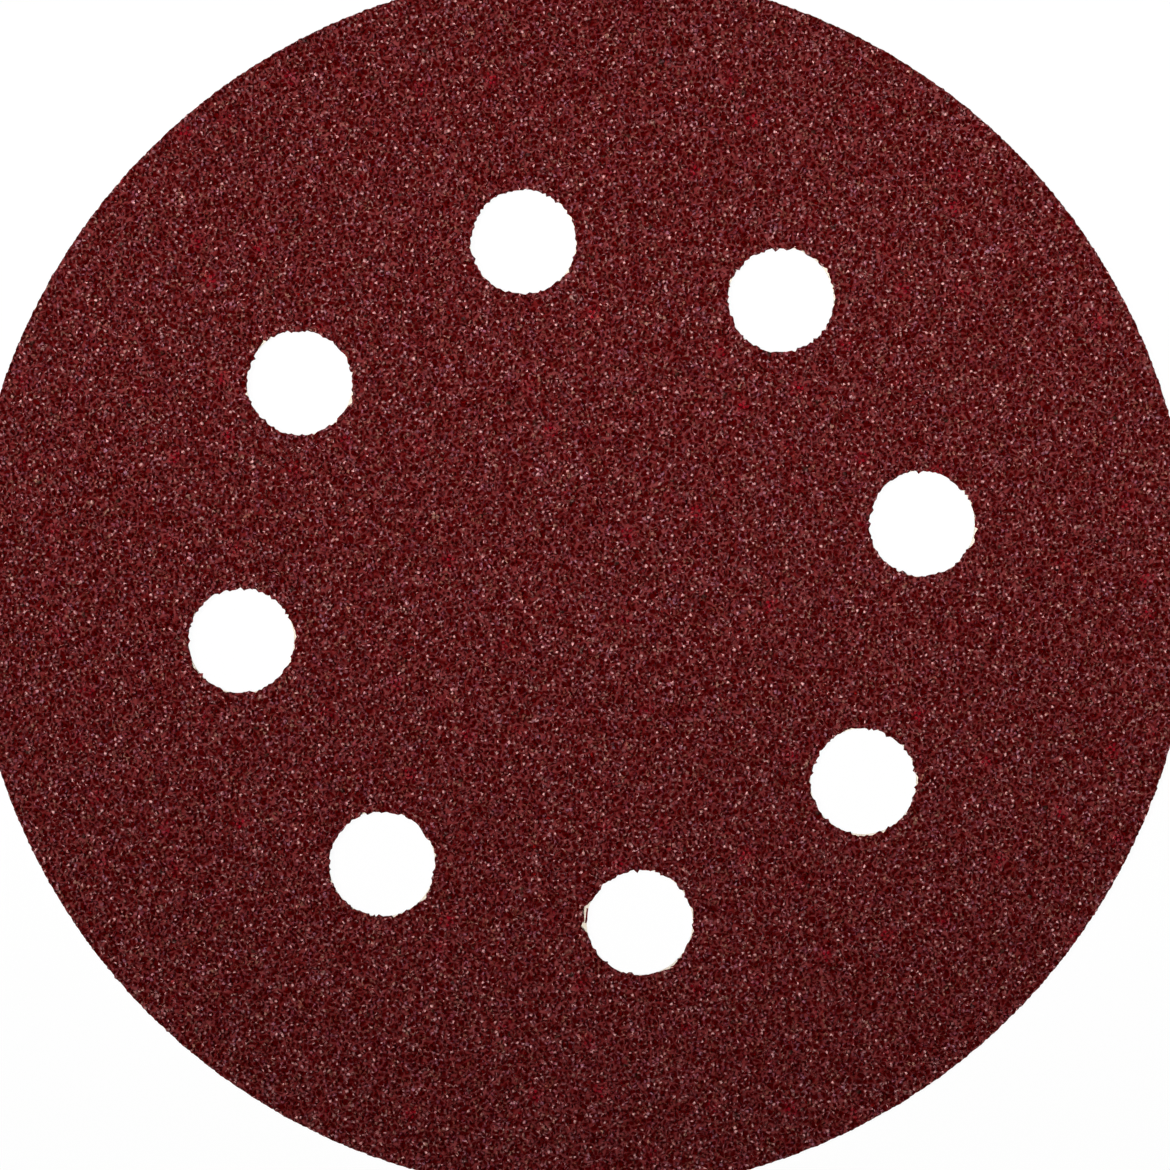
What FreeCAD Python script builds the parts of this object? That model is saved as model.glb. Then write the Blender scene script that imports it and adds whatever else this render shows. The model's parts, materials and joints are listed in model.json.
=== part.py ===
import FreeCAD
import Part
import math
import os

# Hook and loop sanding disc with a ring of dust holes, in millimetres.
#
# The disc is a laminate of three sheets: a loop fabric that grips the hooks of
# a sander's pad, a stiff paper, and a coat of abrasive grain held in resin.
# They are glued together first and then cut out with one die, so the rim and
# the holes of all three come from the same outline.
#
# The disc lies as it would on a bench, loops down and grain up. The origin is
# on the loop face, at the disc's centre. +Z runs out of the grain face, and
# the first dust hole is on +X.

# Outline of the die
disc_diameter = 115.0
hole_circle_diameter = 65.0
hole_diameter = 10.0
hole_count = 8

# Thickness of each sheet
fabric_thickness = 0.60
paper_thickness = 0.32
coat_thickness = 0.46

# What the cut does to the edges. The top corner of the brittle coat crumbles,
# and the pile of the fabric rolls over at its foot.
coat_crumble = 0.05
pile_roll = 0.15

# The most of its sheet's thickness that a crumbled or rolled corner may take
corner_share = 0.8

# Heights of the faces where the sheets meet, from the bench up
bench = 0.0
paper_foot = bench + fabric_thickness
coat_foot = paper_foot + paper_thickness
grain_face = coat_foot + coat_thickness

# How closely an edge lies to a height to count as being at it
height_tolerance = 1e-6


def hole_centres(height):
    """The centres of the dust holes, at a height above the bench."""
    radius = hole_circle_diameter / 2
    turns = [2 * math.pi * k / hole_count for k in range(hole_count)]
    return [
        FreeCAD.Vector(radius * math.cos(turn), radius * math.sin(turn), height)
        for turn in turns
    ]


def die_cut_sheet(foot, thickness):
    """A flat sheet cut to the die's outline."""
    middle = FreeCAD.Vector(0, 0, foot)
    blank = Part.makeCylinder(disc_diameter / 2, thickness, middle)
    slugs = [
        Part.makeCylinder(hole_diameter / 2, thickness, centre)
        for centre in hole_centres(foot)
    ]
    return blank.cut(slugs).Solids[0]


def edges_at(sheet, height):
    """The rim and the hole edges of a sheet that lie at a height."""
    return [
        edge
        for edge in sheet.Edges
        if abs(edge.BoundBox.ZMin - height) < height_tolerance
        and abs(edge.BoundBox.ZMax - height) < height_tolerance
    ]


def make_loop_fabric():
    """Knitted fabric with a brushed pile of loops, rolled over along the foot of the cut."""
    sheet = die_cut_sheet(bench, fabric_thickness)
    roll = min(pile_roll, corner_share * fabric_thickness)
    return sheet.makeFillet(roll, edges_at(sheet, bench))


def make_paper_backing():
    """The stiff paper between the fabric and the grain, cut clean."""
    return die_cut_sheet(paper_foot, paper_thickness)


def make_abrasive_coat():
    """Grain bonded in resin, crumbled along its top corner."""
    sheet = die_cut_sheet(coat_foot, coat_thickness)
    crumble = min(coat_crumble, corner_share * coat_thickness)
    return sheet.makeChamfer(crumble, edges_at(sheet, grain_face))


sheets = {
    "loop_fabric": make_loop_fabric(),
    "paper_backing": make_paper_backing(),
    "abrasive_coat": make_abrasive_coat(),
}

os.makedirs("parts", exist_ok=True)
for name, sheet in sheets.items():
    print(name, sheet.isValid(), len(sheet.Solids), round(sheet.Volume, 2))
    sheet.exportStep("parts/" + name + ".step")
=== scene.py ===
# %% [markdown]
# # Dressing a hook and loop sanding disc
#
# The disc's solids are already made and packed: three flat sheets, glued and die cut together. This
# notebook turns them into what the eye sees, which is tens of thousands of grains in a bed of resin,
# the fibrous edge of the paper, and a knitted fabric with its pile of loops. Everything is in metres
# and in the frame of the solids, so each piece goes where the solids say.

import bisect
import json
import math
import random

import bmesh
import bpy
from mathutils import Matrix, Vector

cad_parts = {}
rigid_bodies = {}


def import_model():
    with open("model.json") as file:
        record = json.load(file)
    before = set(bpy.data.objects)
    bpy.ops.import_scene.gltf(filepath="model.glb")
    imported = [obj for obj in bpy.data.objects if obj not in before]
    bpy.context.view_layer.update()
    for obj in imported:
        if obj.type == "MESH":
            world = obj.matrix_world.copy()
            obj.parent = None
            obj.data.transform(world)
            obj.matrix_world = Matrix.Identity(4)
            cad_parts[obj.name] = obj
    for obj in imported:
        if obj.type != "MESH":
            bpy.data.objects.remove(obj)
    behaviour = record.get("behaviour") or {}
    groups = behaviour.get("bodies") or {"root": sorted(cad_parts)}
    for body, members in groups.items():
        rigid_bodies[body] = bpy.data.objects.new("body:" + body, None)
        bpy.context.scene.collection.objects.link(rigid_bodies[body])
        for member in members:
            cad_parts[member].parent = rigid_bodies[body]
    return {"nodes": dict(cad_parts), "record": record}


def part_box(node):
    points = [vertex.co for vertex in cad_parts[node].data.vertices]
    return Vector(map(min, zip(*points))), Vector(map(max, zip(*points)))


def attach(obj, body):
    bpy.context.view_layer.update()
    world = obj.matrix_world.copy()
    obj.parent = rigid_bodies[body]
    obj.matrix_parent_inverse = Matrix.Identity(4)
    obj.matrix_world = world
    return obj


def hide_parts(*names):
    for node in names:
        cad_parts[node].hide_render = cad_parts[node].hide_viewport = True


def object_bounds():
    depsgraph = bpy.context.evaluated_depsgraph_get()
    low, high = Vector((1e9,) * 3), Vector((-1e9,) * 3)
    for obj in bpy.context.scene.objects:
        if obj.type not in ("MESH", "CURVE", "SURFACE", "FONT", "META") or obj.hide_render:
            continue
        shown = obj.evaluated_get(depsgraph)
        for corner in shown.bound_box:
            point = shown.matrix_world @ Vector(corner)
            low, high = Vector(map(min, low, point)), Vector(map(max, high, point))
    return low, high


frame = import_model()

MM = 0.001

cad_box = [list(corner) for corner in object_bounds()]
print("box of the solids in mm", [[round(value / MM, 3) for value in corner] for corner in cad_box])

# %% [markdown]
# ## Sizes
#
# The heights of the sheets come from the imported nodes, and the ring of dust holes comes from the
# record, so that the dressing follows the solids if they ever change. The bed of resin is given its
# own height here: it fills a quarter of the coat, and the grains stand out of it.

# %% Sizes of the disc
ring = next(mount for mount in frame["record"]["mounts"] if mount["name"] == "dust_holes")
ring_radius = ring["dims"]["pcd_mm"] / 2 * MM
hole_radius = ring["dims"]["hole_r_mm"] * MM
hole_count = ring["dims"]["count"]
disc_radius = round((cad_box[1][0] - cad_box[0][0]) / 2, 4)

fabric_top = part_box("loop_fabric")[1].z
paper_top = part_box("paper_backing")[1].z
grain_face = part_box("abrasive_coat")[1].z
resin_depth = 0.12 * MM
resin_top = paper_top + resin_depth
print("disc radius", disc_radius, "holes", hole_count, "of", hole_radius, "on", ring_radius)
print("fabric to", fabric_top, "paper to", paper_top, "resin to", resin_top, "grains to", grain_face)

# %% [markdown]
# ## The camera
#
# The photograph looks straight down on the grain face and crops the rim a little on each side. A
# long lens keeps the walls of the holes hidden, as they are there. The camera is rolled, because the
# first dust hole isn't level with the disc's centre in the photograph, and it stands a fraction of a
# millimetre off the axis, as the photographer's did.

# %% Place the camera
def new_object(name, data):
    """An object of this name, made from its data and put in the scene."""
    made = bpy.data.objects.new(name, data)
    bpy.context.collection.objects.link(made)
    return made


photo_roll = math.radians(-9.72)
frame_width = 110.035 * MM
camera_drift = (0.340 * MM, -0.294 * MM)

camera_data = bpy.data.cameras.new("photo camera")
camera_data.lens = 200
camera_data.sensor_width = 36
camera = new_object("photo_camera", camera_data)
camera_height = frame_width * camera_data.lens / camera_data.sensor_width
roll = Matrix.Rotation(photo_roll, 4, "Z")
camera.matrix_world = Matrix.Translation(roll @ Vector((*camera_drift, grain_face + camera_height))) @ roll
camera_data.clip_start = 0.01
bpy.context.scene.camera = camera
print("camera stands", round(camera_height, 4), "m above the grains")

# %% [markdown]
# ## Helpers for node trees
#
# A finish is a small tree of nodes. Writing each node on one line, with its settings and what feeds
# it, keeps the recipe readable. A number is set on the socket itself, and an output is wired to it.

# %% Helpers for nodes
def put(tree, kind, inputs=None, **settings):
    """A new node in a tree, with each input given a value or wired to an output."""
    node = tree.nodes.new(kind)
    for name, value in settings.items():
        setattr(node, name, value)
    for name, value in (inputs or {}).items():
        if isinstance(value, bpy.types.NodeSocket):
            tree.links.new(value, node.inputs[name])
        else:
            node.inputs[name].default_value = value
    return node


def sum_of(tree, operation, first, second=0.0, third=0.0):
    """The output of one sum on numbers."""
    node = put(tree, "ShaderNodeMath", {0: first, 1: second, 2: third}, operation=operation)
    return node.outputs[0]


def ramp_of(tree, value, stops):
    """The colour output of a ramp from place and colour pairs."""
    node = put(tree, "ShaderNodeValToRGB", {"Fac": value})
    elements = node.color_ramp.elements
    while len(elements) < len(stops):
        elements.new(1.0)
    for element, (place, colour) in zip(elements, stops):
        element.position = place
        element.color = (*colour, 1.0)
    return node.outputs["Color"]


def stretch(tree, value, low, high, to_low=0.0, to_high=1.0, how="LINEAR"):
    """A number moved from one range into another, held at its ends."""
    inputs = {0: value, 1: low, 2: high, 3: to_low, 4: to_high}
    return put(tree, "ShaderNodeMapRange", inputs, interpolation_type=how).outputs[0]


def mix_colours(tree, share, first, second, how="MIX"):
    """The first colour with a share of the second mixed in."""
    node = put(tree, "ShaderNodeMix", data_type="RGBA", blend_type=how)
    for socket, value in ((node.inputs[0], share), (node.inputs[6], first), (node.inputs[7], second)):
        if isinstance(value, bpy.types.NodeSocket):
            tree.links.new(value, socket)
        else:
            socket.default_value = value if isinstance(value, float) else (*value, 1.0)
    return node.outputs[2]


print("helpers for nodes are ready")

# %% [markdown]
# ## Helpers for finishes
#
# The finishes share a few larger steps too: a new material, the place on the piece that its pattern
# is drawn from, soft noise, a pattern of cells, and bump.

# %% Helpers for finishes
def new_finish(name):
    """A material with only its shader in it: the material, its tree and the shader."""
    material = bpy.data.materials.new(name)
    material.use_nodes = True
    return material, material.node_tree, material.node_tree.nodes["Principled BSDF"]


def place_on_piece(tree):
    """The place on the piece, in metres, whichever way the piece is turned."""
    return put(tree, "ShaderNodeTexCoord").outputs["Object"]


def noise_of(tree, place, scale, detail, distortion=0.0):
    """A soft noise between nothing and one. The larger its scale, the finer it is."""
    inputs = {"Vector": place, "Scale": scale, "Detail": detail, "Distortion": distortion}
    return put(tree, "ShaderNodeTexNoise", inputs).outputs["Fac"]


def cells_of(tree, place, scale):
    """A flat pattern of cells: how far the nearest middle is, and a number drawn for each cell."""
    cells = put(tree, "ShaderNodeTexVoronoi", {"Vector": place, "Scale": scale}, voronoi_dimensions="2D")
    drawn = put(tree, "ShaderNodeSeparateColor", {0: cells.outputs["Color"]})
    return cells.outputs["Distance"], drawn.outputs[0]


def give_bump(tree, shader, height, depth, strength=1.0):
    """Wire a height to a shader's normal, as bump of a depth."""
    bump = put(tree, "ShaderNodeBump", {"Height": height, "Distance": depth, "Strength": strength})
    tree.links.new(bump.outputs["Normal"], shader.inputs["Normal"])


print("helpers for finishes are ready")

# %% [markdown]
# ## The lamp
#
# One soft strip of light hangs high on the left of the camera, and gives every grain its lit and its
# shaded flank and now and then a glint. A grid on it narrows its beam, and it is turned to the upper
# part of the disc, which is lighter in the photograph than the foot.

# %% Hang the lamp
lamp_place = Vector((-0.20, 0.02, 0.76))
lamp_target = Vector((0.035, 0.04, 0.0))

lamp_data = bpy.data.lights.new("strip light", "AREA")
lamp_data.shape = "RECTANGLE"
lamp_data.size = 0.04
lamp_data.size_y = 0.40
lamp_data.spread = math.radians(28)
lamp_data.energy = 0.318
lamp = new_object("strip_light", lamp_data)
lamp.location = roll @ lamp_place
aim = (lamp_target - lamp_place).to_track_quat("-Z", "Y").to_matrix().to_4x4()
lamp.rotation_euler = (roll @ aim).to_euler()
lamp.visible_camera = False
print("lamp at", [round(value, 3) for value in lamp.location])

# %% [markdown]
# ## The room and the floor
#
# The room is an even white that fills the shadows. The floor and a low wall round it are plain white
# too, and glow for the camera and for reflections only, so the ground comes out pure white and throws
# no extra light on the disc.

# %% Lay the floor
fill_level = 0.15
floor_reach = 1.5
backdrop_radius = 1.45
backdrop_height = 0.4
floor_glow = 0.95


def seen_directly(tree):
    """One for rays from the camera and rays in reflections or glass, else nothing."""
    path = put(tree, "ShaderNodeLightPath")
    both = sum_of(tree, "MAXIMUM", path.outputs["Is Camera Ray"], path.outputs["Is Glossy Ray"])
    return sum_of(tree, "MAXIMUM", both, path.outputs["Is Transmission Ray"])


world = bpy.data.worlds.new("room")
bpy.context.scene.world = world
world.use_nodes = True
background = world.node_tree.nodes["Background"]
background.inputs["Color"].default_value = (1, 1, 1, 1)
background.inputs["Strength"].default_value = fill_level

floor_mesh = bpy.data.meshes.new("floor")
shape = bmesh.new()
bmesh.ops.create_grid(shape, x_segments=1, y_segments=1, size=floor_reach)
shape.to_mesh(floor_mesh)
shape.free()
floor = new_object("floor", floor_mesh)

floor_finish, tree, shader = new_finish("white table")
shader.inputs["Base Color"].default_value = (0.9, 0.9, 0.9, 1)
shader.inputs["Roughness"].default_value = 0.9
shader.inputs["Specular IOR Level"].default_value = 0.0
glow = put(tree, "ShaderNodeEmission", {"Color": (1, 1, 1, 1), "Strength": 1.0})
lit = put(tree, "ShaderNodeMixShader", {0: floor_glow, 1: shader.outputs[0], 2: glow.outputs[0]})
table = put(tree, "ShaderNodeMixShader", {0: seen_directly(tree), 1: shader.outputs[0], 2: lit.outputs[0]})
tree.links.new(table.outputs[0], tree.nodes["Material Output"].inputs["Surface"])
floor_mesh.materials.append(floor_finish)

shape = bmesh.new()
bmesh.ops.create_circle(shape, segments=64, radius=backdrop_radius)
grown = bmesh.ops.extrude_edge_only(shape, edges=shape.edges[:])
raised = [item for item in grown["geom"] if isinstance(item, bmesh.types.BMVert)]
bmesh.ops.translate(shape, verts=raised, vec=(0, 0, backdrop_height))
backdrop_mesh = bpy.data.meshes.new("backdrop")
shape.to_mesh(backdrop_mesh)
shape.free()
backdrop_mesh.materials.append(floor_finish)
backdrop = new_object("backdrop", backdrop_mesh)

bpy.context.scene.view_settings.view_transform = "Standard"
print("floor and backdrop are up")

# %% [markdown]
# ## The crumbled edge
#
# A die shears the paper and the fabric cleanly, but the coat on them is brittle: it breaks from grain to
# grain, in facets a quarter of a millimetre long, and here and there a chip comes off and shows the cream
# paper. Each edge is kept as a list of corners, a turn round the circle and how far the coat is set back
# from the die's line there. Less than nothing means that it stands proud. The chips and swellings that the
# photograph shows are listed one by one, as direction and width in degrees and depth in millimetres.

# %% Describe the crumbled edges
noted_chips = [
    [
        (15, 32, 0.18), (345, 32, 0.28), (300, 26, 0.10), (157, 50, -0.09), (50, 32, -0.06),
        (225, 12, 0.10),
    ],
    [(10, 80, 0.18), (98, 66, -0.17), (163, 40, 0.14), (160, 10, 0.12), (265, 20, -0.06)],
    [(335, 80, 0.12), (105, 55, -0.09), (165, 34, -0.08), (145, 14, 0.10), (40, 24, -0.05)],
    [
        (338, 42, 0.25), (90, 36, -0.18), (66, 34, -0.09), (130, 34, 0.12), (155, 26, -0.14),
        (190, 34, 0.12), (225, 26, -0.12),
    ],
    [
        (6, 70, 0.22), (336, 20, 0.16), (98, 46, -0.14), (60, 24, -0.07), (210, 24, 0.14),
        (252, 34, 0.12),
    ],
    [
        (15, 26, 0.18), (322, 56, 0.20), (84, 36, -0.12), (195, 24, 0.10), (288, 26, 0.08),
        (112, 14, 0.08),
    ],
    [
        (15, 34, 0.17), (52, 40, 0.13), (112, 70, -0.14), (150, 30, -0.08), (212, 28, -0.10),
        (308, 60, 0.15), (345, 24, 0.20), (184, 26, 0.52), (168, 26, 0.52),
    ],
    [
        (0, 24, 0.17), (103, 44, 0.14), (158, 40, -0.14), (67, 30, -0.07), (180, 14, 0.22),
        (270, 140, 0.12),
    ],
]

# How far a corner strays along the edge, as a share of a facet
corner_stray = 0.35


def crumbled_edge(radius, facet, proud, uneven, chips, seed):
    """The corners of one cut edge, as turn and set-back, in order round the circle."""
    dice = random.Random(seed)
    count = round(math.tau * radius / facet)
    corners = []
    for k in range(count):
        turn = math.tau * (k + dice.uniform(-corner_stray, corner_stray)) / count
        set_back = dice.gauss(-proud, uneven)
        for direction, width, depth in chips:
            away = abs((turn - math.radians(direction) - photo_roll + math.pi) % math.tau - math.pi)
            if away < math.radians(width) / 2:
                set_back += depth * MM * math.cos(math.pi * away / math.radians(width)) ** 2
        corners.append((turn % math.tau, set_back))
    return sorted(corners)


def around(turn, radius=1.0):
    """The point on a circle round nothing at a turn."""
    return Vector((radius * math.cos(turn), radius * math.sin(turn)))


def set_back_at(corners, turn):
    """How far the coat is set back at a turn, between the two corners beside it."""
    turn %= math.tau
    place = bisect.bisect(corners, (turn, math.inf))
    before, after = corners[place - 1], corners[place % len(corners)]
    span = (after[0] - before[0]) % math.tau or math.tau
    share = ((turn - before[0]) % math.tau) / span
    return before[1] + share * (after[1] - before[1])


hole_centres = [around(math.tau * k / hole_count, ring_radius) for k in range(hole_count)]
rim_edge = crumbled_edge(
    disc_radius, facet=0.26 * MM, proud=0.01 * MM, uneven=0.032 * MM, chips=[], seed=3,
)
hole_edges = [
    crumbled_edge(
        hole_radius, facet=0.27 * MM, proud=0.06 * MM, uneven=0.085 * MM, chips=chips, seed=20 + k,
    )
    for k, chips in enumerate(noted_chips)
]
print("corners on the rim", len(rim_edge), "and on each hole", len(hole_edges[0]))

# %% [markdown]
# ## The bed of resin
#
# The resin is poured on the paper first and the grains fall into it. Its outline is the crumbled
# edge, so it starts as circles, one for the rim and one for each hole, whose corners are moved to
# their set-back. One fill between the circles makes the top, and an extrusion gives it its depth. In
# the largest chip, at the seventh hole, a sliver of the coat has stayed on the paper.

# %% Make the bed of resin
def ring_of_corners(mesh, centre, radius, corners, outwards, height):
    """A circle in the mesh whose corners lie on a crumbled edge. Gives its edges."""
    made = bmesh.ops.create_circle(mesh, segments=len(corners), radius=radius)
    for vertex, (turn, set_back) in zip(made["verts"], corners):
        reach = radius - outwards * set_back
        vertex.co = (centre.x + reach * math.cos(turn), centre.y + reach * math.sin(turn), height)
    return list({edge for vertex in made["verts"] for edge in vertex.link_edges})


def cut_sheet(height, rim, holes):
    """A flat sheet at a height, whose rim and holes follow lists of corners."""
    mesh = bmesh.new()
    edges = ring_of_corners(mesh, Vector((0, 0)), disc_radius, rim, 1, height)
    for centre, corners in zip(hole_centres, holes):
        edges += ring_of_corners(mesh, centre, hole_radius, corners, -1, height)
    bmesh.ops.triangle_fill(mesh, use_beauty=True, use_dissolve=False, edges=edges, normal=(0, 0, 1))
    bmesh.ops.recalc_face_normals(mesh, faces=mesh.faces)
    if mesh.faces[:][0].normal.z < 0:
        bmesh.ops.reverse_faces(mesh, faces=mesh.faces)
    return mesh


def new_piece(name, mesh, *finishes):
    """An object of this name made from a finished bmesh or mesh, with its finishes."""
    data = mesh
    if isinstance(mesh, bmesh.types.BMesh):
        data = bpy.data.meshes.new(name)
        mesh.to_mesh(data)
        mesh.free()
    data.name = name
    piece = new_object(name, data)
    data.materials.clear()
    for finish in finishes:
        data.materials.append(finish)
    return piece


def thicken_down(mesh, depth):
    """Give a flat sheet its thickness, downwards, as a closed slab. Gives the lower corners."""
    grown = bmesh.ops.extrude_face_region(mesh, geom=mesh.faces[:])
    lower = [item for item in grown["geom"] if isinstance(item, bmesh.types.BMVert)]
    bmesh.ops.translate(mesh, verts=lower, vec=(0, 0, -depth))
    bmesh.ops.recalc_face_normals(mesh, faces=mesh.faces)
    return lower


grain_field = new_piece("grain_field", cut_sheet(resin_top, rim_edge, hole_edges))
bed = cut_sheet(resin_top, rim_edge, hole_edges)
thicken_down(bed, resin_depth)

sliver_width = 0.16 * MM
sliver_length = 1.4 * MM
sliver_inset = 0.05 * MM
sliver_turn = math.radians(173) + photo_roll

sliver_middle = hole_centres[6] + (hole_radius + sliver_inset) * around(sliver_turn)
sliver_place = Matrix.Translation((*sliver_middle, paper_top + resin_depth / 2))
sliver_place = sliver_place @ Matrix.Rotation(sliver_turn, 4, "Z")
sliver_size = Matrix.Diagonal((sliver_width, sliver_length, resin_depth, 1))
sliver = bmesh.ops.create_cube(bed, size=1.0, matrix=sliver_place @ sliver_size)
long_edges = {edge for vertex in sliver["verts"] for edge in vertex.link_edges if edge.calc_length() > MM}
cut = bmesh.ops.subdivide_edges(bed, edges=list(long_edges), cuts=6)

# The sliver's long sides are torn, not cut
dice = random.Random(7)
for vertex in cut["geom_inner"]:
    if isinstance(vertex, bmesh.types.BMVert):
        vertex.co += Vector((dice.uniform(0, 0.05), dice.uniform(-0.04, 0.04), 0)) * MM
print("bed of resin has", len(bed.faces), "faces")

# %% [markdown]
# ## The ridges
#
# Resin and grain share one look up close. Between the grains it is a deep, clear red, because light that
# gets down there leaves as red alone, and that red is painted darker as painted shade. Along their edges
# run thin winding ridges of a duller, brownish pink, which is partly a painted sheen of edges catching the
# light. A net of cells gives such lines along its borders. One noise bends the net, so that they wind, and
# another swells and breaks them. The same recipe on both pieces lets the ridges run from one to the other.

# %% Ridges for resin and grain
net_scale = 1850.0
ridge_width = 0.33
net_bend = 0.0007
net_breaks = 0.85
clump_scale = 850.0


def winding_ridges(tree, place):
    """Winding lines from nothing to one, which give bump and a painted sheen, their fine fuzz, and where
    they clump.
    """
    bend = put(tree, "ShaderNodeTexNoise", {"Vector": place, "Scale": 1300.0, "Detail": 0.0})
    bent = put(
        tree, "ShaderNodeVectorMath", {0: bend.outputs["Color"], 1: (net_bend,) * 3, 2: place},
        operation="MULTIPLY_ADD",
    )
    net = put(
        tree, "ShaderNodeTexVoronoi", {"Vector": bent.outputs[0], "Scale": net_scale},
        voronoi_dimensions="2D", feature="DISTANCE_TO_EDGE",
    )
    fuzz = noise_of(tree, place, scale=7000.0, detail=1.0)
    clump = noise_of(tree, place, scale=clump_scale, detail=2.0)
    swell = noise_of(tree, place, scale=1900.0, detail=1.0)
    breaks = sum_of(tree, "MULTIPLY_ADD", swell, net_breaks, -net_breaks / 2)
    away = sum_of(tree, "ADD", net.outputs["Distance"], breaks)
    ridge_with_painted_sheen = stretch(tree, away, 0.0, ridge_width, 1.0, 0.0, "SMOOTHSTEP")
    return ridge_with_painted_sheen, fuzz, stretch(tree, clump, 0.32, 0.68)


def give_relief(tree, shader, ridge_with_painted_sheen, fuzz, height, dull, shiny):
    """Wire the ridges and their fuzz to a shader's bump and roughness."""
    relief = sum_of(tree, "MULTIPLY_ADD", fuzz, 0.2, ridge_with_painted_sheen)
    give_bump(tree, shader, relief, height)
    tree.links.new(stretch(tree, fuzz, 0.3, 0.7, shiny, dull), shader.inputs["Roughness"])
    shader.inputs["Specular Tint"].default_value = (1.0, 0.03, 0.03, 1.0)


print("ridges about", round(1 / net_scale / MM, 2), "mm apart")

# %% [markdown]
# ## The finish of the resin
#
# The bed has dried glossy between the grains, but little of the room is seen from down there, so it
# is given only a weak reflection.

# %% Finish of the resin
resin_finish, tree, shader = new_finish("red resin")
place = place_on_piece(tree)
ridge_with_painted_sheen, fuzz, clump = winding_ridges(tree, place)
# The pinkish crests are partly a painted sheen, and the deep red between them is partly painted shade.
crest_with_painted_sheen = mix_colours(tree, clump, (0.110, 0.0080, 0.0082), (0.190, 0.0380, 0.0385))
colour = mix_colours(tree, ridge_with_painted_sheen, (0.040, 0.0002, 0.0003), crest_with_painted_sheen)
tree.links.new(colour, shader.inputs["Base Color"])
give_relief(tree, shader, ridge_with_painted_sheen, fuzz, height=0.06 * MM, dull=0.50, shiny=0.36)
shader.inputs["Specular IOR Level"].default_value = 0.08
resin = new_piece("resin", bed, resin_finish)

# %% [markdown]
# ## The crystals
#
# Crushed grain is blocky, with flat broken faces and sharp corners. Eight crystals, turned and sized
# differently each time, are enough that the eye finds no repeat. Each starts as a cube whose corners
# are pushed about. Some have a corner sliced off, and a hull round the points closes the slice.

# %% Make the crystals
crystal_kinds = 8
blank_size = 0.72
corner_shift = 0.16
corner_reach = (0.42, 0.56)
slice_reach = 0.30


def make_crystal(seed):
    """A closed crystal about one unit across, with a dozen or so faces."""
    dice = random.Random(seed)
    mesh = bmesh.new()
    bmesh.ops.create_cube(mesh, size=blank_size)
    for vertex in mesh.verts:
        vertex.co += Vector([dice.uniform(-corner_shift, corner_shift) for _ in range(3)])
        vertex.co.normalize()
        vertex.co *= dice.uniform(*corner_reach)
    if seed % 2:
        corner = mesh.verts[:][0].co.normalized()
        bmesh.ops.bisect_plane(
            mesh, geom=mesh.verts[:] + mesh.edges[:] + mesh.faces[:], dist=1e-5,
            plane_co=corner * slice_reach, plane_no=corner, clear_outer=True,
        )
    bmesh.ops.delete(mesh, geom=mesh.edges[:] + mesh.faces[:], context="EDGES_FACES")
    bmesh.ops.convex_hull(mesh, input=mesh.verts[:])
    loose = [vertex for vertex in mesh.verts if not vertex.link_faces]
    bmesh.ops.delete(mesh, geom=loose, context="VERTS")
    bmesh.ops.triangulate(mesh, faces=mesh.faces[:])
    bmesh.ops.recalc_face_normals(mesh, faces=mesh.faces)
    for face in mesh.faces:
        face.smooth = seed % 4 != 3
    return mesh


crystals = bpy.data.collections.new("crystals")
for kind in range(crystal_kinds):
    mesh = make_crystal(kind)
    print("crystal", kind, "has", len(mesh.faces), "faces")
    crystal = new_piece(f"crystal_{kind}", mesh)
    bpy.context.collection.objects.unlink(crystal)
    crystals.objects.link(crystal)

# %% [markdown]
# ## Scattering the grains
#
# The grains are drawn up into the wet resin by an electric field, so that they stand about evenly
# apart and few lie on each other. A scatter that keeps a least distance does the same. It is one
# scatter over the whole disc, cut into four quarters, because one piece with all the grains would be
# too heavy to handle, and so the quarters meet with no seam.

# %% Build the scatter
tries_per_place = 7.0


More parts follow.
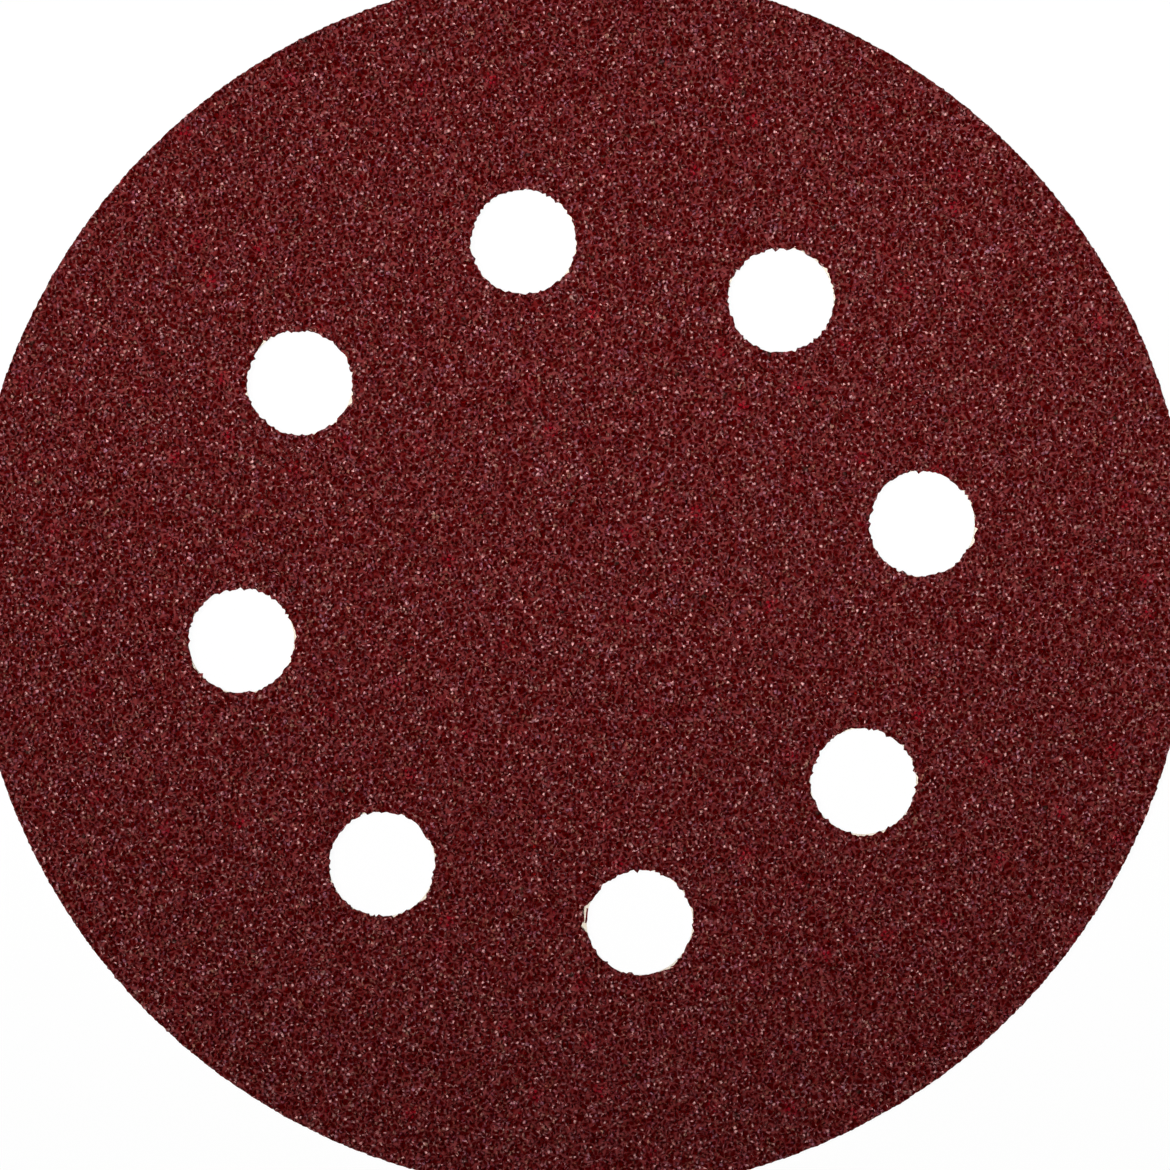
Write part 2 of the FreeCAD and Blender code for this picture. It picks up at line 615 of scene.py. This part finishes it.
def scatter_recipe(name, kit, spacing, lift, spins, sizes, wedges):
    """Nodes that scatter a kit of pieces over a sheet and keep one of its wedges."""
    tree = bpy.data.node_groups.new(name, "GeometryNodeTree")
    tree.interface.new_socket("Geometry", in_out="INPUT", socket_type="NodeSocketGeometry")
    tree.interface.new_socket("Wedge", in_out="INPUT", socket_type="NodeSocketInt")
    tree.interface.new_socket("Geometry", in_out="OUTPUT", socket_type="NodeSocketGeometry")
    given = put(tree, "NodeGroupInput")
    density = tries_per_place / spacing ** 2
    points = put(
        tree, "GeometryNodeDistributePointsOnFaces",
        {"Mesh": given.outputs[0], "Distance Min": spacing, "Density Max": density, "Seed": 5},
        distribute_method="POISSON",
    )
    spot = put(tree, "ShaderNodeSeparateXYZ", {0: put(tree, "GeometryNodeInputPosition").outputs[0]})
    turn = sum_of(tree, "ARCTAN2", spot.outputs["Y"], spot.outputs["X"])
    # A little less than the number of wedges, so that the last turn falls in the last of them
    wedge = sum_of(tree, "FLOOR", stretch(tree, turn, -math.pi, math.pi, 0.0, wedges - 0.0001))
    chosen = put(
        tree, "FunctionNodeCompare", {"A": wedge, "B": given.outputs["Wedge"], "Epsilon": 0.1},
        operation="EQUAL",
    )
    kept = put(
        tree, "GeometryNodeSeparateGeometry", {0: points.outputs["Points"], 1: chosen.outputs[0]},
        domain="POINT",
    )
    lifted = put(tree, "GeometryNodeSetPosition", {0: kept.outputs[0], "Offset": (0.0, 0.0, lift)})
    pieces = put(
        tree, "GeometryNodeCollectionInfo",
        {"Collection": kit, "Separate Children": True, "Reset Children": True},
    )
    last = len(kit.objects) - 1
    which = put(tree, "FunctionNodeRandomValue", {4: 0, 5: last, "Seed": 1}, data_type="INT")
    spin, size = (
        put(tree, "FunctionNodeRandomValue", {0: low, 1: high, "Seed": seed}, data_type="FLOAT_VECTOR")
        for seed, (low, high) in ((2, spins), (3, sizes))
    )
    placed = put(
        tree, "GeometryNodeInstanceOnPoints",
        {
            "Points": lifted.outputs[0], "Instance": pieces.outputs[0], "Pick Instance": True,
            "Instance Index": which.outputs[2], "Rotation": spin.outputs[0], "Scale": size.outputs[0],
        },
    )
    tone = put(tree, "FunctionNodeRandomValue", {2: 0.0, 3: 1.0, "Seed": 4}, data_type="FLOAT")
    toned = put(
        tree, "GeometryNodeStoreNamedAttribute",
        {"Geometry": placed.outputs[0], "Name": "tone", "Value": tone.outputs[1]},
        data_type="FLOAT", domain="INSTANCE",
    )
    solid = put(tree, "GeometryNodeRealizeInstances", {0: toned.outputs[0]})
    put(tree, "NodeGroupOutput", {0: solid.outputs[0]})
    return tree


def scattered(field, recipe, wedge):
    """A plain mesh of the pieces that a recipe scatters over one wedge of a field."""
    modifier = field.modifiers.new("scatter", "NODES")
    modifier.node_group = recipe
    modifier[recipe.interface.items_tree["Wedge"].identifier] = wedge
    made = field.evaluated_get(bpy.context.evaluated_depsgraph_get())
    mesh = bpy.data.meshes.new_from_object(made)
    field.modifiers.remove(modifier)
    return mesh


whole_turn = Vector((math.tau, math.tau, math.tau))
grain_recipe = scatter_recipe(
    "scatter grains", crystals, spacing=0.375 * MM, lift=0.09 * MM, spins=(Vector(), whole_turn),
    sizes=(Vector((0.46, 0.46, 0.46)) * MM, Vector((0.68, 0.60, 0.60)) * MM), wedges=4,
)
quarters = [scattered(grain_field, grain_recipe, quarter) for quarter in range(4)]
print("triangles in each quarter", [len(mesh.polygons) for mesh in quarters])

# %% [markdown]
# ## Trimming the grains
#
# Three things hold a grain back. The paper is under it, so no corner goes below the paper's top. The grain
# was sieved, so none of it stands above the coat's face. The die shears it at the edges, so each corner
# that overhangs the crumbled edge is brought back to it, which leaves a flat broken face. Those corners
# get the darkest tone, a painted shade that draws a dark line along the cut edges.

# %% Trim the grains
edge_reach = 0.6 * MM
edge_painted_shade_tone = -0.6


def trimmed(point):
    """A grain's corner moved back inside the paper, the coat's face and the crumbled edges."""
    x, y, z = point
    z = min(max(z, paper_top), grain_face)
    out = math.hypot(x, y)
    if out > disc_radius - edge_reach:
        limit = disc_radius - set_back_at(rim_edge, math.atan2(y, x))
        if out > limit:
            x, y = x * limit / out, y * limit / out
    k = round(math.atan2(y, x) / math.tau * hole_count) % hole_count
    dx, dy = x - hole_centres[k].x, y - hole_centres[k].y
    out = math.hypot(dx, dy)
    if out < hole_radius + edge_reach:
        limit = hole_radius + set_back_at(hole_edges[k], math.atan2(dy, dx))
        if 0 < out < limit:
            x, y = hole_centres[k].x + dx * limit / out, hole_centres[k].y + dy * limit / out
    return x, y, z


for mesh in quarters:
    for vertex, tone in zip(mesh.vertices, mesh.attributes["tone"].data):
        before = vertex.co.xy
        vertex.co = trimmed(vertex.co)
        if vertex.co.xy != before:
            # A corner brought back to a cut edge gets the darkest tone, as painted shade along the edge.
            tone.value = edge_painted_shade_tone
bpy.data.objects.remove(grain_field)
print("highest grain in mm", round(max(v.co.z for mesh in quarters for v in mesh.vertices) / MM, 3))

# %% [markdown]
# ## The finish of the grains
#
# Each grain has its own tone, stored on it by the scatter. The top coat of resin has run down its flanks,
# and they are painted a brighter, clearer red, a painted glow that lifts their shade, while the pinkish
# ridges, partly a painted sheen, lie on the part that looks up. Over a millimetre or so the colour drifts
# between rust and crimson, and between deep and pale.

# %% Hollows and ridges of the grains, with painted shade, sheen and glow
grain_finish, tree, shader = new_finish("red grain")
place = place_on_piece(tree)
tone = put(tree, "ShaderNodeAttribute", attribute_name="tone", attribute_type="GEOMETRY").outputs["Fac"]
ridge_with_painted_sheen, fuzz, clump = winding_ridges(tree, place)
mixed_tone = sum_of(tree, "MULTIPLY_ADD", tone, 0.45, sum_of(tree, "MULTIPLY_ADD", clump, 0.30, 0.12))
# The hollows are a deep red, partly painted shade, and the crests grow pinkish, partly a painted sheen.
hollow_with_painted_shade_and_glow = ramp_of(tree, tone, [(0.0, (0.044, 0.0001, 0.0001)), (1.0, (0.063, 0.0002, 0.0002))])
crest_with_painted_sheen = ramp_of(tree, mixed_tone, [
    (0.0, (0.020, 0.0005, 0.0005)), (0.15, (0.100, 0.0076, 0.0078)), (0.5, (0.180, 0.0408, 0.0418)),
    (0.85, (0.370, 0.1500, 0.1520)),
])
# The flanks get a brighter red as a painted glow that lifts their shade. The pinkish crest colour stays on
# the part that looks up.
surface = put(tree, "ShaderNodeNewGeometry").outputs["Normal"]
facing = put(tree, "ShaderNodeSeparateXYZ", {0: surface}).outputs["Z"]
up_share_for_painted_light = stretch(tree, facing, 0.25, 0.70)
hollow_with_painted_shade_and_glow = mix_colours(tree, up_share_for_painted_light, (0.090, 0.0006, 0.0006), hollow_with_painted_shade_and_glow)
crest_with_painted_sheen = mix_colours(tree, up_share_for_painted_light, (0.175, 0.0135, 0.0140), crest_with_painted_sheen)
colour = mix_colours(tree, ridge_with_painted_sheen, hollow_with_painted_shade_and_glow, crest_with_painted_sheen)

rust, crimson = (1.0, 1.14, 0.81), (1.0, 0.88, 1.24)
deep, pale = (1.02, 0.82, 0.82), (0.98, 1.18, 1.18)
drift_span = (0.34, 0.66)
wander = put(tree, "ShaderNodeTexNoise", {"Vector": place, "Scale": 750.0, "Detail": 1.0}).outputs["Color"]
drift = put(tree, "ShaderNodeSeparateColor", {0: wander})
hue = mix_colours(tree, stretch(tree, drift.outputs[0], *drift_span), rust, crimson)
paleness = mix_colours(tree, stretch(tree, drift.outputs[1], *drift_span), deep, pale)
colour = mix_colours(tree, 1.0, colour, mix_colours(tree, 1.0, hue, paleness, "MULTIPLY"), "MULTIPLY")
print("grain finish has its hollows and ridges")

# %% [markdown]
# Small pale tips on the ridges, on the part that looks up, are painted glints. A few patches, where the
# coat is thin, are a purer red, and a few spots are nearly black. Each kind takes its places from a
# pattern of cells, one spot to a cell, so that they keep apart as the grains do.

# %% Painted glints, patches and pits of the grains
# Pale painted glints, one to a cell, on the ridges that look up.
painted_glint_distance, strength = cells_of(tree, place, scale=1750.0)
painted_glint_nearness = stretch(tree, painted_glint_distance, 0.12, 0.40, 1.0, 0.0)
painted_glint = sum_of(tree, "MULTIPLY", painted_glint_nearness, stretch(tree, strength, 0.2, 1.0))
painted_glint = sum_of(tree, "MULTIPLY", painted_glint, stretch(tree, ridge_with_painted_sheen, 0.2, 0.8))
painted_glint = sum_of(tree, "MULTIPLY", painted_glint, up_share_for_painted_light)
colour = mix_colours(tree, painted_glint, colour, (0.82, 0.42, 0.405))
patch_distance, thinness = cells_of(tree, place, scale=170.0)
patch = stretch(tree, patch_distance, 0.05, 0.17, 0.9, 0.0)
patch = sum_of(tree, "MULTIPLY", patch, stretch(tree, thinness, 0.3, 1.0))
colour = mix_colours(tree, patch, colour, (0.26, 0.004, 0.012))
shifted = put(tree, "ShaderNodeMapping", {"Vector": place, "Location": (0.31, 0.17, 0.0)}).outputs[0]
pit_distance, _ = cells_of(tree, shifted, scale=150.0)
pit = stretch(tree, pit_distance, 0.025, 0.05, 0.7, 0.0)
colour = mix_colours(tree, pit, colour, (0.022, 0.018, 0.012))
tree.links.new(colour, shader.inputs["Base Color"])
give_relief(tree, shader, ridge_with_painted_sheen, fuzz, height=0.05 * MM, dull=0.40, shiny=0.26)
shader.inputs["Specular IOR Level"].default_value = 0.14

grains = [new_piece(f"grains_{k + 1}", mesh, grain_finish) for k, mesh in enumerate(quarters)]
print("pieces of grain", [piece.name for piece in grains])

# %% [markdown]
# ## The paper
#
# The paper's solid has the right shape already, so it keeps its node and gets a finish: cream, with
# fibres that run every way and a fuzzy sheared wall.

# %% Finish of the paper
paper_finish, tree, shader = new_finish("cream paper")
place = place_on_piece(tree)
fibres = noise_of(tree, place, scale=5200.0, detail=4.0, distortion=1.5)
colour = ramp_of(tree, fibres, [(0.3, (0.74, 0.63, 0.49)), (0.7, (0.92, 0.85, 0.73))])
tree.links.new(colour, shader.inputs["Base Color"])
tree.links.new(stretch(tree, fibres, 0.3, 0.7, 0.75, 0.95), shader.inputs["Roughness"])
give_bump(tree, shader, fibres, depth=0.03 * MM, strength=0.6)
shader.inputs["Specular IOR Level"].default_value = 0.2
paper = frame["nodes"]["paper_backing"]
for material_slot in paper.material_slots:
    material_slot.link = "OBJECT"
    material_slot.material = paper_finish
print("paper slots", len(paper.material_slots))

# %% [markdown]
# ## The ground of the loop fabric
#
# The fabric under the paper is a warp knit: a flat ground of fine nylon with a pile of loops standing
# out of it. The ground is half of its thickness, and the die cuts it as cleanly as the paper, so its
# circles have even corners. Its lower edge is rolled over a little, as soft cloth is by a die: that
# edge is found as the one where the foot and a wall meet at a right angle.

# %% Make the ground of the loop fabric
ground_foot = 0.27 * MM
ground_roll = 0.06 * MM
right_angle_slack = 0.1


def even_edge(count, set_back=0.0):
    """The corners of a clean cut edge, evenly spaced."""
    return [(math.tau * k / count, set_back) for k in range(count)]


ground = cut_sheet(fabric_top, even_edge(count=240), [even_edge(count=48) for _ in hole_centres])
lower = set(thicken_down(ground, fabric_top - ground_foot))
foot_edges = [
    edge for edge in ground.edges
    if lower.issuperset(edge.verts) and abs(edge.calc_face_angle() - math.pi / 2) < right_angle_slack
]
bmesh.ops.bevel(
    ground, geom=foot_edges, offset=ground_roll, segments=2, profile=0.5, affect="EDGES", material=-1,
)
print("ground of the fabric has", len(ground.faces), "faces, rolled over along", len(foot_edges), "edges")

# %% [markdown]
# ## The finish of the ground
#
# A knit shows rows of stitches one way and columns the other. Two sets of bands, one across the other,
# give both, and a fine noise gives the fluff of brushed nylon. The bands are bump as well as colour.

# %% Finish of the ground
knit_finish, tree, shader = new_finish("knitted nylon")
place = place_on_piece(tree)
waver = {"Distortion": 1.2, "Detail": 1.0, "Detail Scale": 2.0}
rows = put(tree, "ShaderNodeTexWave", {"Vector": place, "Scale": 520.0, **waver}, bands_direction="X")
columns = put(tree, "ShaderNodeTexWave", {"Vector": place, "Scale": 620.0, **waver}, bands_direction="Y")
fluff = noise_of(tree, place, scale=4200.0, detail=4.0)
stitches = sum_of(tree, "MULTIPLY", rows.outputs["Fac"], columns.outputs["Fac"])
height = sum_of(tree, "MULTIPLY_ADD", fluff, 0.6, stitches)
colour = ramp_of(tree, height, [
    (0.15, (0.50, 0.48, 0.42)), (0.55, (0.74, 0.72, 0.65)), (1.0, (0.84, 0.82, 0.76)),
])
tree.links.new(colour, shader.inputs["Base Color"])
tree.links.new(stretch(tree, fluff, 0.3, 0.7, 0.80, 0.98), shader.inputs["Roughness"])
give_bump(tree, shader, height, depth=0.08 * MM, strength=0.8)
shader.inputs["Specular IOR Level"].default_value = 0.25
shader.inputs["Sheen Weight"].default_value = 0.25
loop_ground = new_piece("loop_ground", ground, knit_finish)

# %% [markdown]
# ## The pile of loops
#
# Each loop is a tuft of fibres that leaves the ground and comes back into it. One bent tube stands for
# it: a small triangle swept through half a turn, which keeps thousands of them light. The scatter that
# placed the grains places these too, in two halves, on a field a little inside the cut, where no loop
# was severed.

# %% Make the pile
loop_half_width = 0.39 * MM
yarn_radius = 0.085 * MM
loop_flatness = 0.54


def make_loop(lean):
    """One loop hanging down from its two feet, leant to a side."""
    mesh = bmesh.new()
    foot = Matrix.Translation((loop_half_width, 0, 0))
    bmesh.ops.create_circle(mesh, segments=3, radius=yarn_radius, matrix=foot)
    bmesh.ops.spin(
        mesh, geom=mesh.verts[:] + mesh.edges[:], cent=(0, 0, 0), axis=(0, 1, 0), angle=math.pi, steps=4,
        use_merge=False, use_normal_flip=False, use_duplicate=False,
    )
    bmesh.ops.holes_fill(mesh, edges=mesh.edges[:], sides=3)
    bmesh.ops.recalc_face_normals(mesh, faces=mesh.faces)
    bmesh.ops.scale(mesh, verts=mesh.verts[:], vec=(1, 1, loop_flatness))
    bmesh.ops.rotate(mesh, verts=mesh.verts[:], cent=(0, 0, 0), matrix=Matrix.Rotation(lean, 3, "X"))
    for face in mesh.faces:
        face.smooth = True
    return mesh


leans = (-0.7, -0.3, 0.2, 0.6)

loops = bpy.data.collections.new("loops")
for kind, lean in enumerate(leans):
    loop = new_piece(f"loop_{kind}", make_loop(lean))
    bpy.context.collection.objects.unlink(loop)
    loops.objects.link(loop)
loop_foot = min(vertex.co.z for vertex in loop.data.vertices)
print("one loop has", len(loop.data.polygons), "faces and hangs to", round(loop_foot / MM, 3), "mm")

pile_inset = 0.60 * MM
pile_ceiling = fabric_top - 0.05 * MM
pile_field = new_piece(
    "pile_field",
    cut_sheet(ground_foot, even_edge(120, pile_inset), [even_edge(32, pile_inset) for _ in hole_centres]),
)
pile_recipe = scatter_recipe(
    "scatter loops", loops, spacing=0.69 * MM, lift=0.01 * MM,
    spins=(Vector((0, 0, -0.9)), Vector((0, 0, 0.9))),
    sizes=(Vector((0.9, 0.9, 0.85)), Vector((1.1, 1.2, 1.0))), wedges=2,
)
halves = [scattered(pile_field, pile_recipe, half) for half in range(2)]
bpy.data.objects.remove(pile_field)
for mesh in halves:
    for vertex in mesh.vertices:
        vertex.co.z = min(max(vertex.co.z, 0.0), pile_ceiling)
    print("half of the pile has", sum(len(face.vertices) - 2 for face in mesh.polygons), "triangles")

# %% [markdown]
# ## The finish of the pile
#
# The loops are the same nylon, a little brighter where they bulge out and catch the light. Each has a
# tone of its own, so that the pile doesn't look moulded.

# %% Finish of the pile
pile_finish, tree, shader = new_finish("nylon loops")
place = place_on_piece(tree)
tone = put(tree, "ShaderNodeAttribute", attribute_name="tone", attribute_type="GEOMETRY").outputs["Fac"]
fibres = noise_of(tree, place, scale=9000.0, detail=3.0)
shade = sum_of(tree, "MULTIPLY_ADD", fibres, 0.5, sum_of(tree, "MULTIPLY", tone, 0.5))
colour = ramp_of(tree, shade, [(0.15, (0.66, 0.64, 0.57)), (0.85, (0.88, 0.86, 0.80))])
tree.links.new(colour, shader.inputs["Base Color"])
tree.links.new(stretch(tree, fibres, 0.3, 0.7, 0.70, 0.90), shader.inputs["Roughness"])
give_bump(tree, shader, fibres, depth=0.02 * MM, strength=0.6)
shader.inputs["Specular IOR Level"].default_value = 0.3
shader.inputs["Sheen Weight"].default_value = 0.3
pile = [new_piece(f"loop_pile_{k + 1}", mesh, pile_finish) for k, mesh in enumerate(halves)]

# %% [markdown]
# ## Riding on the frame
#
# The resin and the grains stand for the abrasive coat's slab, and the ground and its pile for the
# fabric's. Both slabs stay for collision only. The fabric is a sheet of cloth.

# %% Tie the pieces to the frame
for piece in [resin, *grains]:
    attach(piece, "root")
    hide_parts("abrasive_coat")
for piece in [loop_ground, *pile]:
    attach(piece, "root")
    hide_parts("loop_fabric")
